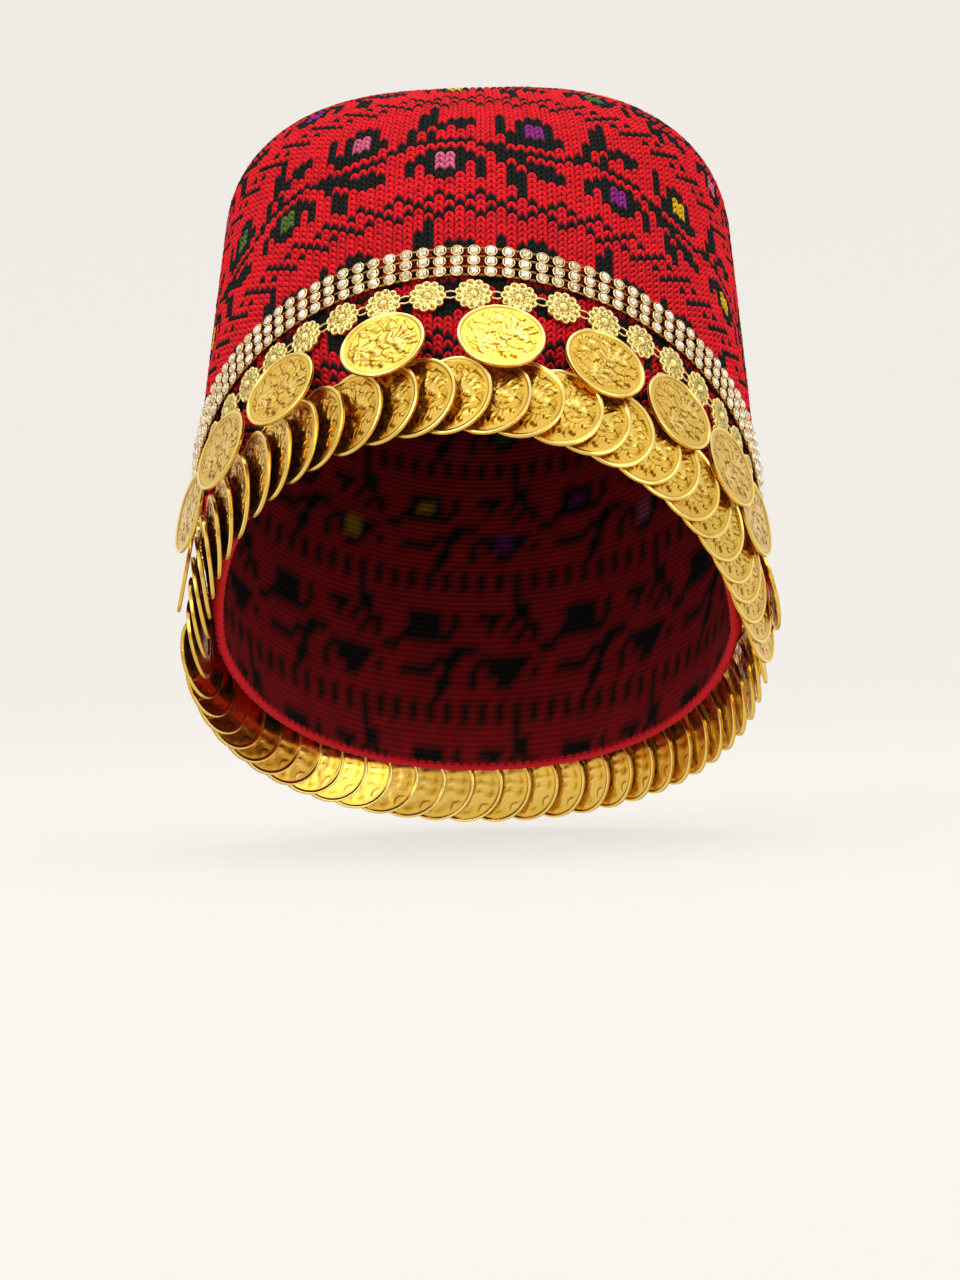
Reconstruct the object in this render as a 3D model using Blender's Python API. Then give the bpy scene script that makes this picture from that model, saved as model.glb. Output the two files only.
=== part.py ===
"""Coin headdress: a knitted bucket cap worn tilted back, trimmed all round with gilt coins.

The origin is the middle of the cap's rim. +Z is up, the front faces -Y. From the rim up the trim is
a fringe of overlapping coins, a row of spaced coins, a chain of flower links and a rhinestone band.
Lengths are in metres and angles in degrees unless a name says otherwise.
"""
import math

import bmesh
import bpy
import numpy as np

# Cap: an ellipse that is drawn in at the rim, tapers upwards, leans forward and has a round shoulder
CAP_HALF_WIDTH = 0.0896
CAP_FRONT_DEPTH = 0.1066
CAP_BACK_DEPTH = 0.0866
CAP_BACK_PINCH = 0.12
CAP_HEIGHT = 0.1688
CAP_WALL = 0.003
CAP_TAPER = 0.060
CAP_LEAN = 0.149
CAP_TILT = 40.3
RIM_DRAW_SIDE = 0.0107
RIM_DRAW_FRONT = 0.0025
RIM_DRAW_HEIGHT = 0.080
RIM_RISE_BACK = 0.016
TOP_SLANT = 0.004
SHOULDER_FRONT = 0.080
SHOULDER_SIDE = 0.025
CROWN_RISE = 0.004
CAP_SECTIONS = 44
WALL_ROWS = 4
WALL_CROWDING = 1.5
SHOULDER_ROWS = 5
CROWN_ROWS = 2

# Clearance between pieces that touch on the real headdress
SEAM_GAP = 0.0003

# Rhinestone band: three rows of stones in cups, as one ring with three ridges
BAND_HEIGHT = 0.0481
BAND_ROW_PITCH = 0.0038
BAND_ROWS = 3
BAND_STONE = 0.0036
BAND_DEPTH = 0.0028
BAND_BACKING = 0.0012

# Flower chain: rosettes joined by pairs of wire links
FLOWER_HEIGHT = 0.0364
FLOWER_DIAMETER = 0.0111
FLOWER_SPACE = 0.0018
FLOWER_THICKNESS = 0.0013
FLOWER_BOSS = 0.0012
FLOWER_FIRST = 3.2
LINK_WIRE = 0.0009
LINK_SPREAD = 0.0018

# Coins, all of one size
COIN_DIAMETER = 0.025
COIN_THICKNESS = 0.0010

# Spaced row: each coin is sewn on by a shank behind its top, and its lower edge rides on the fringe
ROW_HEIGHT = 0.0176
ROW_COUNT = 19
ROW_FIRST = 8.2
ROW_SIDES = 16
ROW_KICK_FRONT = 10.0
ROW_KICK_SIDE = 12.0
SHANK_WIRE = 0.0014
SHANK_DROP = 0.0030

# Sewn places of the spaced coins, as shares of their pitch away from even spacing, going right
ROW_SHIFTS = (
    0.00, -0.01, -0.06, -0.13, -0.34, -0.30, -0.21, -0.20, -0.18, -0.17,
    -0.15, -0.14, -0.12, -0.08, 0.00, -0.09, -0.15, -0.15, -0.06,
)

# Fringe: overlapping coins along the rim, threaded near their tops on one wire
FRINGE_TOP = 0.0120
FRINGE_PITCH = 0.0093
FRINGE_GAP = 0.0006
FRINGE_TUCK = 0.81
FRINGE_STEEPER = 6.0
FRINGE_SIDES = 10
FRINGE_WIRE = 0.0011
FRINGE_WIRE_SIDES = 4

# Sewn places of the fringe coins in front, from the left to the right of the middle one
FRINGE_SHIFTS = (
    0.00, -0.02, 0.06, 0.21, 0.15, 0.14, -0.02, 0.09, 0.05, -0.02, -0.14,
    -0.16, -0.28, -0.18, -0.30, -0.42, -0.29, -0.35, -0.20, -0.29, -0.11,
)

WIRE_SIDES = 5
NEAREST_STEPS = 6

# Worn position: the cap's axis leans back about the side-to-side axis
TILT = math.radians(CAP_TILT)
WORN = np.array((
    (1.0, 0.0, 0.0),
    (0.0, math.cos(TILT), math.sin(TILT)),
    (0.0, -math.sin(TILT), math.cos(TILT)),
))
DOWN = np.array((0.0, 0.0, -1.0))


def material(name, colour, roughness, metallic=0.0):
    """A Principled material with one colour."""
    mat = bpy.data.materials.new(name)
    mat.use_nodes = True
    shader = mat.node_tree.nodes["Principled BSDF"]
    shader.inputs["Base Color"].default_value = (*colour, 1.0)
    shader.inputs["Roughness"].default_value = roughness
    shader.inputs["Metallic"].default_value = metallic
    return mat


def unit(vector):
    """The vector at length one."""
    return vector / np.linalg.norm(vector)


def cap_point(turn, height, inset=0.0, share=1.0):
    """Worn point on the cap's outline at a height above the rim: x is the half width by sin(turn),
    the front the front or back depth by cos(turn) plus the lean, both less the taper, the draw at
    the rim and the inset. The back half is pinched in at its sides. The rim and the trim rise towards
    the back, which fades out above them."""
    narrowing = CAP_TAPER * height + inset
    draw = max(1.0 - height / RIM_DRAW_HEIGHT, 0.0) ** 2
    depth = CAP_FRONT_DEPTH if math.cos(turn) > 0.0 else CAP_BACK_DEPTH
    pinch = 1.0 - CAP_BACK_PINCH * max(-math.cos(turn), 0.0)
    half_width = (CAP_HALF_WIDTH - narrowing - RIM_DRAW_SIDE * draw) * pinch
    half_depth = depth - narrowing - RIM_DRAW_FRONT * draw
    across = half_width * share * math.sin(turn)
    forward = half_depth * share * math.cos(turn) + CAP_LEAN * height
    trim_top = BAND_HEIGHT + 0.5 * BAND_ROWS * BAND_ROW_PITCH
    fade = min(max((CAP_HEIGHT - height) / (CAP_HEIGHT - trim_top), 0.0), 1.0)
    rise = RIM_RISE_BACK * max(-math.cos(turn), 0.0) ** 2 * fade
    return WORN @ np.array((across, -forward, height + rise))


def wall_frame(turn, height):
    """Point on the cap's wall with its unit vectors to the right, up the wall and out."""
    point = cap_point(turn, height)
    step = 1e-4
    right = unit(cap_point(turn + step, height) - cap_point(turn - step, height))
    up = unit(cap_point(turn, height + step) - cap_point(turn, height - step))
    out = unit(np.cross(right, up))
    up = np.cross(out, right)
    return point, right, up, out


def nearest_wall(place, turn, height):
    """Frame of the wall's point nearest to a place, found by steps along the wall from a first guess."""
    step = 1e-4
    for _ in range(NEAREST_STEPS):
        point, right, up, _out = wall_frame(turn, height)
        away = place - point
        turn += step * np.dot(away, right) / np.linalg.norm(cap_point(turn + step, height) - point)
        height += step * np.dot(away, up) / np.linalg.norm(cap_point(turn, height + step) - point)
    return wall_frame(turn, height)


def even_turns(height, count, first):
    """Turns that divide the wall's length at a height evenly, from a first turn to the right."""
    fine = np.linspace(0.0, 2.0 * math.pi, 721)
    ring = np.array([cap_point(turn, height) for turn in fine])
    length = np.concatenate(([0.0], np.cumsum(np.linalg.norm(np.diff(ring, axis=0), axis=1))))
    start = np.interp(math.radians(first) % (2.0 * math.pi), fine, length)
    places = (start + np.arange(count) * length[-1] / count) % length[-1]
    return np.interp(places, length, fine)


def girth(height):
    """Length of the wall's outline at a height."""
    fine = np.linspace(0.0, 2.0 * math.pi, 721)
    ring = np.array([cap_point(turn, height) for turn in fine])
    return float(np.linalg.norm(np.diff(ring, axis=0), axis=1).sum())


def make_object(name, verts, faces, mat, smooth_angle=40.0):
    """An object from points and faces, smooth apart from its sharp edges."""
    mesh = bpy.data.meshes.new(name)
    mesh.from_pydata([tuple(map(float, vert)) for vert in verts], [], faces)
    mesh.update()
    work = bmesh.new()
    work.from_mesh(mesh)
    bmesh.ops.recalc_face_normals(work, faces=work.faces)
    work.to_mesh(mesh)
    work.free()
    mesh.materials.append(mat)
    mesh.shade_smooth()
    mesh.set_sharp_from_angle(angle=math.radians(smooth_angle))
    obj = bpy.data.objects.new(name, mesh)
    bpy.context.scene.collection.objects.link(obj)
    return obj


def fuse(obj, *others):
    """Union of the object with the others, which are used up."""
    for other in others:
        join = obj.modifiers.new("fuse", "BOOLEAN")
        join.operation = "UNION"
        join.solver = "EXACT"
        join.object = other
    bpy.context.view_layer.update()
    evaluated = obj.evaluated_get(bpy.context.evaluated_depsgraph_get())
    mesh = bpy.data.meshes.new_from_object(evaluated)
    obj.modifiers.clear()
    obj.data = mesh
    for other in others:
        bpy.data.objects.remove(other)
    return obj


def joined(pieces):
    """Points and faces of several pieces as one list."""
    verts = []
    faces = []
    for piece_verts, piece_faces in pieces:
        start = len(verts)
        verts.extend(piece_verts)
        faces.extend(tuple(start + index for index in face) for face in piece_faces)
    return verts, faces


def ring_faces(rows, columns, closed=False):
    """Quads between rows of points that each run round a ring; closed joins the last row to the first."""
    faces = []
    for row in range(rows if closed else rows - 1):
        below = row * columns
        above = ((row + 1) % rows) * columns
        for column in range(columns):
            beside = (column + 1) % columns
            faces.append((below + column, below + beside, above + beside, above + column))
    return faces


def tube(path, sides_of, radius, sides=WIRE_SIDES, closed=False):
    """Wire along a path: a ring of sides round each point, with flat ends unless it is closed.
    sides_of gives the two unit vectors across the path at each point."""
    verts = []
    for point, (first, second) in zip(path, sides_of):
        for side in range(sides):
            angle = 2.0 * math.pi * side / sides
            verts.append(point + radius * (math.cos(angle) * first + math.sin(angle) * second))
    faces = ring_faces(len(path), sides, closed)
    if not closed:
        faces.append(tuple(range(sides)))
        faces.append(tuple(range((len(path) - 1) * sides, len(path) * sides)))
    return verts, faces


def prism(centre, right, up, out, outline, thickness, boss=0.0):
    """Plate of an outline in the right and up directions, with its mid plane through the centre.
    A boss raises the middle of the front face."""
    half = 0.5 * thickness * out
    back = [centre + x * right + y * up - half for x, y in outline]
    front = [centre + x * right + y * up + half for x, y in outline]
    count = len(outline)
    faces = ring_faces(2, count)
    faces.append(tuple(range(count)))
    verts = back + front
    if boss:
        verts.append(centre + half + boss * out)
        faces.extend((count + side, count + (side + 1) % count, 2 * count) for side in range(count))
    else:
        faces.append(tuple(range(count, 2 * count)))
    return verts, faces


def circle(radius, sides):
    """Corners of a regular outline, with one corner straight up."""
    return round_outline(radius, np.arange(sides) * 360.0 / sides)


def round_outline(radius, angles):
    """Corners of an outline on a circle, at angles clockwise from straight up."""
    return [(radius * math.sin(angle), radius * math.cos(angle)) for angle in np.radians(angles)]


def linked_plates(frames, outline, thickness, boss, first_corners, mirror):
    """Ring of plates as one body. Each side that starts at one of the first corners, on a plate's
    right, is open and runs on into its mirror image on the next plate's left. The mirror of a
    corner is the mirror number less the corner."""
    corners = len(outline)
    size = 2 * corners + (1 if boss else 0)
    mirrored = [(mirror - first - 1) % corners for first in first_corners]
    verts = []
    faces = []
    for index, (centre, right, up, out) in enumerate(frames):
        plate_verts, plate_faces = prism(centre, right, up, out, outline, thickness, boss)
        start = len(verts)
        verts.extend(plate_verts)
        for side, face in enumerate(plate_faces):
            if side not in first_corners and side not in mirrored:
                faces.append(tuple(start + corner for corner in face))
        next_start = (index + 1) % len(frames) * size
        for first in first_corners:
            upper, lower = first, first + 1
            far_upper, far_lower = (mirror - upper) % corners, (mirror - lower) % corners
            near_side = [start + corner for corner in (upper, lower, corners + lower, corners + upper)]
            far_side = [
                next_start + corner
                for corner in (far_upper, far_lower, corners + far_lower, corners + far_upper)
            ]
            for side in range(4):
                beside = (side + 1) % 4
                faces.append((near_side[side], near_side[beside], far_side[beside], far_side[side]))
    return verts, faces


def section_turns():
    """Turns at which the cap and the band on it have their sections."""
    return [2.0 * math.pi * index / CAP_SECTIONS for index in range(CAP_SECTIONS)]


def shoulder_foot(turn):
    """Height at which the shoulder starts at a turn, and its radius, which is largest in front."""
    radius = SHOULDER_SIDE + (SHOULDER_FRONT - SHOULDER_SIDE) * max(math.cos(turn), 0.0) ** 2
    return CAP_HEIGHT - TOP_SLANT * math.cos(turn) - radius, radius


def shoulder_point(turn, bend, inward):
    """Point on the shoulder, a quarter round from the wall at bend nought to the crown."""
    foot, radius = shoulder_foot(turn)
    height = foot + (radius - inward) * math.sin(bend)
    return cap_point(turn, height, inward + (radius - inward) * (1.0 - math.cos(bend)))


def cap_shell(inward):
    """Rows of points up the wall, round the shoulder and over the crown, moved inward by the wall, and
    the pole. The crown domes gently from the shoulder's top edge to the middle of that edge."""
    turns = section_turns()
    rows = []
    for row in range(WALL_ROWS):
        share = (row / WALL_ROWS) ** WALL_CROWDING
        rows.append([cap_point(turn, share * shoulder_foot(turn)[0], inward) for turn in turns])
    for row in range(SHOULDER_ROWS):
        bend = 0.5 * math.pi * row / SHOULDER_ROWS
        rows.append([shoulder_point(turn, bend, inward) for turn in turns])
    edge = [shoulder_point(turn, 0.5 * math.pi, inward) for turn in turns]
    middle = np.mean(edge, axis=0)
    axis = WORN[:, 2]
    for row in range(CROWN_ROWS):
        share = 1.0 - row / CROWN_ROWS
        dome = CROWN_RISE * (1.0 - share * share) * axis
        rows.append([middle + share * (point - middle) + dome for point in edge])
    return rows, middle + CROWN_RISE * axis


def make_cap(wool):
    """Hollow cap: an outer and an inner shell with poles, joined round the rim."""
    verts = []
    faces = []
    starts = []
    for inward in (0.0, CAP_WALL):
        rows, pole = cap_shell(inward)
        start = len(verts)
        starts.append(start)
        for points in rows:
            verts.extend(points)
        faces.extend(tuple(start + index for index in face) for face in ring_faces(len(rows), CAP_SECTIONS))
        last = start + (len(rows) - 1) * CAP_SECTIONS
        for side in range(CAP_SECTIONS):
            faces.append((last + side, last + (side + 1) % CAP_SECTIONS, len(verts)))
        verts.append(pole)
    outer, inner = starts
    for side in range(CAP_SECTIONS):
        beside = (side + 1) % CAP_SECTIONS
        faces.append((outer + side, outer + beside, inner + beside, inner + side))
    return make_object("knit_cap", verts, faces, wool)


def make_band(setting):
    """Ring whose section has a flat back on the wall and one ridge for each row of stones."""
    foot = -0.5 * BAND_ROW_PITCH * BAND_ROWS
    section = [(foot, 0.0)]
    for row in range(BAND_ROWS):
        middle = foot + (row + 0.5) * BAND_ROW_PITCH
        section.append((middle - 0.5 * BAND_ROW_PITCH, BAND_BACKING))
        section.append((middle - 0.25 * BAND_STONE, BAND_DEPTH))
        section.append((middle + 0.25 * BAND_STONE, BAND_DEPTH))
    section.append((-foot, BAND_BACKING))
    section.append((-foot, 0.0))
    verts = []
    for turn in section_turns():
        point, _right, up, out = wall_frame(turn, BAND_HEIGHT)
        verts.extend(point + rise * up + (SEAM_GAP + depth) * out for rise, depth in section)
    faces = ring_faces(CAP_SECTIONS, len(section), closed=True)
    return make_object("rhinestone_band", verts, faces, setting)


def make_flower_chain(gilt):
    """Ring of bossed rosettes on the wall, each joined to the next by two wires."""
    radius = 0.5 * FLOWER_DIAMETER
    count = round(girth(FLOWER_HEIGHT) / (FLOWER_DIAMETER + FLOWER_SPACE))
    tightest = CAP_HALF_WIDTH ** 2 / CAP_FRONT_DEPTH
    back = SEAM_GAP + radius ** 2 / (2.0 * tightest)
    frames = []
    for turn in even_turns(FLOWER_HEIGHT, count, FLOWER_FIRST):
        point, right, up, out = wall_frame(turn, FLOWER_HEIGHT)
        frames.append((point + (back + 0.5 * FLOWER_THICKNESS) * out, right, up, out))
    inner = math.degrees(math.asin((0.5 * LINK_SPREAD - 0.5 * LINK_WIRE) / radius))
    outer = math.degrees(math.asin((0.5 * LINK_SPREAD + 0.5 * LINK_WIRE) / radius))
    right_side = [90.0 - outer, 90.0 - inner, 90.0 + inner, 90.0 + outer]
    left_side = [180.0 + angle for angle in right_side]
    angles = [0.0, 40.0, *right_side, 140.0, 180.0, 220.0, *left_side, 320.0]
    outline = round_outline(radius, angles)
    plates = linked_plates(frames, outline, FLOWER_THICKNESS, FLOWER_BOSS, (2, 4), len(angles))
    return make_object("flower_chain", *plates, gilt)


def turned(first, second, angle):
    """Two unit vectors at right angles turned in their own plane, the first towards the second."""
    cosine = math.cos(angle)
    sine = math.sin(angle)
    return cosine * first + sine * second, cosine * second - sine * first


def hanging_frame(normal, right):
    """Right, up and out directions of a coin held on a wall with this normal and this direction to the
    right. It lies along the wall where the wall faces up, and hangs plumb where it doesn't."""
    hang = unit(DOWN + normal * max(normal[2], 0.0))
    coin_right = unit(right - np.dot(right, hang) * hang)
    return coin_right, -hang, np.cross(coin_right, -hang)


def fringe_turns():
    """Turns of the fringe coins: even places along the wall, with the front ones' own sewn shifts. The
    count is even, so that every other coin stands clear of the rest."""
    count = 2 * round(girth(FRINGE_TOP) / (2.0 * FRINGE_PITCH))
    turns = even_turns(FRINGE_TOP, count, 0.0)
    middle = len(FRINGE_SHIFTS) // 2
    for place, shift in enumerate(FRINGE_SHIFTS):
        turns[(place - middle) % count] += shift * 2.0 * math.pi / count
    return turns


def shingle_angles(frames):
    """Angle at which each plate's left edge just slips under its left neighbour: the thickness and the
    gap, plus what the wall's curve lifts the edge, over the pitch; evened out with the neighbours."""
    radius = 0.5 * COIN_DIAMETER
    angles = []
    for index, (centre, side, _ridge, out) in enumerate(frames):
        next_centre, _next_side, _next_ridge, next_out = frames[(index + 1) % len(frames)]
        step = next_centre - centre
        lift = radius * np.dot(next_out, side) + np.dot(step, out)
        angles.append(math.atan((COIN_THICKNESS + FRINGE_GAP + lift) / np.dot(step, side)))
    angles = np.array(angles)
    return 0.25 * np.roll(angles, 1) + 0.5 * angles + 0.25 * np.roll(angles, -1)


def fringe_frames():
    """Frames of the fringe coins. Each coin hangs from its top, and is turned about the direction up
    the wall so that its left edge slips under its left neighbour."""
    radius = 0.5 * COIN_DIAMETER
    flat = []
    walls = []
    for turn in fringe_turns():
        point, wall_right, wall_up, normal = wall_frame(turn, FRINGE_TOP)
        _right, up, out = hanging_frame(normal, wall_right)
        up, out = turned(up, out, math.radians(FRINGE_STEEPER) * max(normal[2], 0.0))
        ridge = unit(wall_up - np.dot(wall_up, out) * out)
        flat.append((point - radius * up, np.cross(ridge, out), ridge, out))
        walls.append((normal, max(np.dot(up, normal), 0.0)))
    angles = shingle_angles(flat)
    frames = []
    for (centre, side, ridge, out), (normal, steep), angle in zip(flat, walls, angles):
        stand = SEAM_GAP + 0.5 * COIN_THICKNESS + radius * (FRINGE_TUCK * math.sin(angle) + steep)
        side, out = turned(side, out, angle)
        frames.append((centre + stand * normal, side, ridge, out))
    return frames


def make_fringe(frames, gold):
    """Overlapping coins and the wire that runs through them just below their upmost edges."""
    radius = 0.5 * COIN_DIAMETER
    outline = circle(radius, FRINGE_SIDES)
    coins = [prism(centre, side, ridge, out, outline, COIN_THICKNESS) for centre, side, ridge, out in frames]
    path = [centre + (radius - FRINGE_WIRE) * ridge for centre, _side, ridge, _out in frames]
    ways = [(ridge, out) for _centre, _side, ridge, out in frames]
    wire = tube(path, ways, 0.5 * FRINGE_WIRE, FRINGE_WIRE_SIDES, closed=True)
    fringe = make_object("coin_fringe", *joined(coins[0::2]), gold)
    others = make_object("fringe_others", *joined(coins[1::2]), gold)
    return fuse(fringe, others, make_object("fringe_wire", *wire, gold))


def row_turns():
    """Turns of the spaced coins: even places along the wall, each with its own sewn shift."""
    evenly = even_turns(ROW_HEIGHT, ROW_COUNT, ROW_FIRST)
    pitch = 2.0 * math.pi / ROW_COUNT
    return [turn + shift * pitch for turn, shift in zip(evenly, ROW_SHIFTS)]


def lift_off(frame, fringe, direction):
    """Distance that a coin moves in a direction so that it just clears the fringe coins: their front
    corners against its back face, and its back corners against their front faces."""
    radius = 0.5 * COIN_DIAMETER
    rim = np.array(circle(radius, FRINGE_SIDES * ROW_SIDES))
    lift = 0.0
    for other in fringe:
        for below, above in ((other, frame), (frame, other)):
            facing = 1.0 if above is frame else -1.0
            centre, right, up, out = below
            corners = centre + rim[:, :1] * right + rim[:, 1:] * up + 0.5 * facing * COIN_THICKNESS * out
            centre, right, up, out = above
            away = corners - centre
            depth = facing * (away @ out) + 0.5 * COIN_THICKNESS + SEAM_GAP
            inside = np.hypot(away @ right, away @ up) < radius + SEAM_GAP
            lift = max(lift, (inside * depth).max() / np.dot(direction, out))
    return lift


def make_row_coin(number, turn, fringe, gold):
    """Coin whose lower edge is kicked out to ride on the fringe, and a shank behind its top."""
    radius = 0.5 * COIN_DIAMETER
    point, wall_right, _wall_up, normal = wall_frame(turn, ROW_HEIGHT)
    right, up, out = hanging_frame(normal, wall_right)
    kick = math.radians(ROW_KICK_FRONT + (ROW_KICK_SIDE - ROW_KICK_FRONT) * abs(math.sin(turn)))
    up, out = turned(up, out, -kick)
    lean_in = max(-np.dot(up, normal), 0.0)
    centre = point + (SEAM_GAP + 0.5 * COIN_THICKNESS + radius * lean_in) * normal
    centre = centre + lift_off((centre, right, up, out), fringe, normal) * normal
    disc = prism(centre, right, up, out, circle(radius, ROW_SIDES), COIN_THICKNESS)
    coin = make_object(f"coin_{number:02d}", *joined([disc]), gold)
    start = centre + (radius - SHANK_DROP) * up
    foot, foot_right, foot_up, foot_out = nearest_wall(start, turn, ROW_HEIGHT)
    path = (start, foot + 0.5 * SEAM_GAP * foot_out)
    wire = tube(path, ((right, up), (foot_right, foot_up)), 0.5 * SHANK_WIRE)
    shank = make_object("shank", *wire, gold)
    return fuse(coin, shank)


def main():
    for obj in list(bpy.data.objects):
        bpy.data.objects.remove(obj)
    wool = material("red_wool", (0.62, 0.01, 0.02), 0.9)
    setting = material("stone_settings", (0.75, 0.62, 0.50), 0.25, 1.0)
    pale_gilt = material("pale_gilt", (0.80, 0.66, 0.32), 0.35, 1.0)
    gold = material("gold_plate", (0.90, 0.62, 0.15), 0.22, 1.0)
    make_cap(wool)
    make_band(setting)
    make_flower_chain(pale_gilt)
    fringe = fringe_frames()
    make_fringe(fringe, gold)
    for number, turn in enumerate(row_turns(), start=1):
        make_row_coin(number, turn, fringe, gold)


main()
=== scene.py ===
"""Dressing of the coin headdress: charted knit, polished coins, rosettes, rhinestones and a studio.

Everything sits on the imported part's own surfaces, so the sizes and formulas of the part's source are
repeated here. The origin is the middle of the cap's rim, +Z is up, the front faces -Y. Lengths are in
metres unless a name says otherwise, and a turn is an angle about the cap's axis from its front.
"""

import math

import bpy
import numpy as np
from mathutils import Matrix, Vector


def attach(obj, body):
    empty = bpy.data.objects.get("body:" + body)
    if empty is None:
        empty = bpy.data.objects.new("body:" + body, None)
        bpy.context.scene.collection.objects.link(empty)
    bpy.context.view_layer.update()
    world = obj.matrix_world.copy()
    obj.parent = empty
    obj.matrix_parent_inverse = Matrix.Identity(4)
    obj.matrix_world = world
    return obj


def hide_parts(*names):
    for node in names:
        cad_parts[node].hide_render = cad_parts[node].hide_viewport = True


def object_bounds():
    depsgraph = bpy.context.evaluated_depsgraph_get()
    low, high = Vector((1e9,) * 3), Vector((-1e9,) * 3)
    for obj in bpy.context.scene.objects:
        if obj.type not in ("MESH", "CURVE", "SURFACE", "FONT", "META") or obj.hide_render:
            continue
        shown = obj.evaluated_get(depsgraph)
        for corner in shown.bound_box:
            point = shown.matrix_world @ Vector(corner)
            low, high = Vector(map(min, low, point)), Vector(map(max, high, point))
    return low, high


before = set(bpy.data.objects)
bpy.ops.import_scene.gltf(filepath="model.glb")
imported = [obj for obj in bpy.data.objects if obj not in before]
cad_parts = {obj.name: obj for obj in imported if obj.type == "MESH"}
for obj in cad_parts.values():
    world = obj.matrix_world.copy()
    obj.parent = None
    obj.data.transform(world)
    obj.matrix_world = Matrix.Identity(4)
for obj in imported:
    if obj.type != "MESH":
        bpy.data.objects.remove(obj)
CAD_BOX = [[float(value) for value in corner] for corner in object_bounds()]
random = np.random.default_rng(19)
MM = 0.001

# Cap, as in the part's source
CAP_HALF_WIDTH = 0.0896
CAP_FRONT_DEPTH = 0.1066
CAP_BACK_DEPTH = 0.0866
CAP_BACK_PINCH = 0.12
CAP_HEIGHT = 0.1688
CAP_TAPER = 0.060
CAP_LEAN = 0.149
CAP_TILT = 40.3
RIM_DRAW_SIDE = 0.0107
RIM_DRAW_FRONT = 0.0025
RIM_DRAW_HEIGHT = 0.080
RIM_RISE_BACK = 0.016
TOP_SLANT = 0.004
SHOULDER_FRONT = 0.080
SHOULDER_SIDE = 0.025
CROWN_RISE = 0.004
SEAM_GAP = 0.0003

# Trim, as in the part's source
BAND_HEIGHT = 0.0481
BAND_ROW_PITCH = 0.0038
BAND_ROWS = 3
BAND_STONE = 0.0036
FLOWER_HEIGHT = 0.0364
FLOWER_DIAMETER = 0.0111
FLOWER_COUNT = 43
FLOWER_THICKNESS = 0.0013
FLOWER_FIRST = 3.2
LINK_SPREAD = 0.0018
COIN_DIAMETER = 0.025
COIN_THICKNESS = 0.0010
COIN_RADIUS = 0.5 * COIN_DIAMETER
ROW_HEIGHT = 0.0176
ROW_COUNT = 19
ROW_FIRST = 8.2
ROW_KICK_FRONT = 10.0
ROW_KICK_SIDE = 12.0
ROW_SHIFTS = (
    0.00, -0.01, -0.06, -0.13, -0.34, -0.30, -0.21, -0.20, -0.18, -0.17,
    -0.15, -0.14, -0.12, -0.08, 0.00, -0.09, -0.15, -0.15, -0.06,
)
FRINGE_TOP = 0.0120
FRINGE_COUNT = 60
FRINGE_GAP = 0.0006
FRINGE_TUCK = 0.81
FRINGE_STEEPER = 6.0
FRINGE_WIRE = 0.0011
FRINGE_SHIFTS = (
    0.00, -0.02, 0.06, 0.21, 0.15, 0.14, -0.02, 0.09, 0.05, -0.02, -0.14,
    -0.16, -0.28, -0.18, -0.30, -0.42, -0.29, -0.35, -0.20, -0.29, -0.11,
)
RIM_POINTS = 160

# Details that only the dressed part has. The coin's field, groove and rim are in radii of the coin,
# and FRINGE_SHOWN is how many fringe coins on each side of the front one show their faces
COIN_FIELD = 0.86
COIN_GROOVE = 0.905
COIN_RIM = 0.925
STONE_COLUMN_PITCH = 0.0048
ROSETTE_PETALS = 11
FRINGE_SHOWN = 15

# Knit: columns round the cap, level rows up the wall and shoulder, and rings over the crown, which
# close round a middle a little behind the middle of its edge
KNIT_COLUMNS = 180
KNIT_ROWS = 98
KNIT_LEVEL = 0.070
KNIT_SHIFT = -0.34
KNIT_CROWN_RINGS = 18
CROWN_BACK = 0.0120
CROWN_UP = 0.0006
CROWN_REACH = 0.050
CROWN_RING = 0.042
KNIT_PIECES = (0, 33, 66, 98)
CHAIN_FIRST_ROW = 7
REPEAT_ROWS = 24
REPEAT_COLUMNS = 18
CHART_LEFT = -7

# Knit charts, top row first: # is black wool, o the coloured heart of a flower and . the red ground
CHAIN_CHART = (
    "..#.",
    ".#.#",
    "#...",
    ".#.#",
    "..#.",
)
FLOWER_CHART = (
    "....#.............",
    "....#.............",
    "...##.............",
    "...##......#..##..",
    "...##.###..#.####.",
    "...######..#.#oo#.",
    "..##.#.#...#.#oo#.",
    "..#.#......###oo##",
    "..#.#.......######",
    ".########...#####.",
    "##.......###......",
    "....####..########",
    "...##oo##..###....",
    "..###oo###.#.####.",
    "..#.#oo#.#..#.####",
    "..#.####.#..##.###",
    ".....##..#..##....",
    "............##....",
    ".............#....",
)
RED = "#FA1428"
SHADED_RED = "#F01426"
BLACK = "#101714"
HEARTS = ("#EE6C98", "#98268E", "#F5C312", "#5E7A34")

# The nodes that pieces stand for, with their material slots
KNIT = (("knit_cap",), "red_wool")
FRINGE = (("coin_fringe",), "gold_plate")
FLOWERS = (("flower_chain",), "pale_gilt")
STONES = (("rhinestone_band",), "stone_settings")

# Camera, solved from the photograph: distance, lens and the small turns of the head
CAMERA_DISTANCE = 1.100
CAMERA_RIGHT = 0.000796
CAMERA_ABOVE = 0.000396
CAMERA_YAW = -2.895
CAMERA_ROLL = 1.615
CAMERA_LENS = 102.50
SENSOR = 36.0

TILT = math.radians(CAP_TILT)
WORN = np.array((
    (1.0, 0.0, 0.0),
    (0.0, math.cos(TILT), math.sin(TILT)),
    (0.0, -math.sin(TILT), math.cos(TILT)),
))
DOWN = np.array((0.0, 0.0, -1.0))


# The cap's surfaces

def unit(vectors):
    """The vectors at length one."""
    return vectors / np.maximum(np.linalg.norm(vectors, axis=-1, keepdims=True), 1e-12)


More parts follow.
